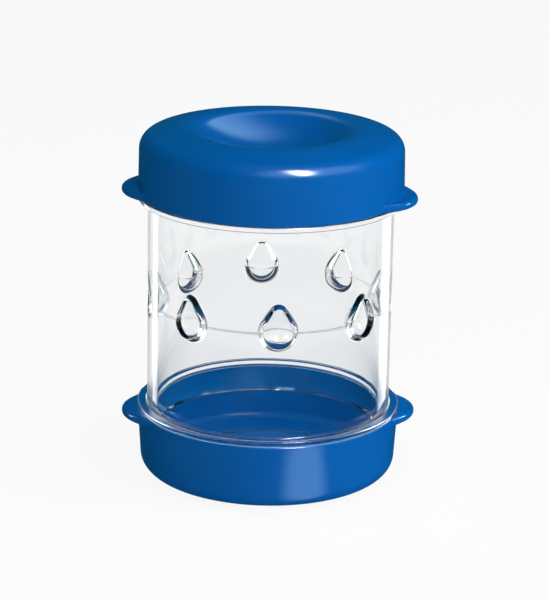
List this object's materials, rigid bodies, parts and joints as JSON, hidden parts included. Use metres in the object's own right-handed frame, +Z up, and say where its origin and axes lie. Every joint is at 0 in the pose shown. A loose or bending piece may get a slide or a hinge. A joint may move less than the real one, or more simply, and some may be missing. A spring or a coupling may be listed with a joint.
{
  "type": "egg peeler",
  "caption": "Hand egg peeler: a clear round tube with inward teardrop dents, closed at each end by a push-on dished plastic cap with pull tabs.",
  "frame": {"origin": "centre of the ring on the bottom cap that the peeler stands on", "axes": "+Z up along the tube, +X across the front towards the pull tabs of one side, the pictured front faces -Y"},
  "size_m": [0.0823, 0.0734, 0.0995],
  "materials": {
    "cap_blue": "glossy moulded plastic",
    "clear_plastic": "polished clear plastic"
  },
  "bodies": {
    "bottom_cap": {"bottom_cap": "cap_blue"},
    "clear_tube": {"clear_tube": "clear_plastic"},
    "top_cap": {"top_cap": "cap_blue"}
  },
  "joints": [
    {"name": "tube_lift", "type": "slide", "parent": "bottom_cap", "child": "clear_tube", "axis": [0, 0, 1], "range_m": [0, 0.06]},
    {"name": "cap_lift", "type": "slide", "parent": "clear_tube", "child": "top_cap", "axis": [0, 0, 1], "range_m": [0, 0.06]}
  ]
}
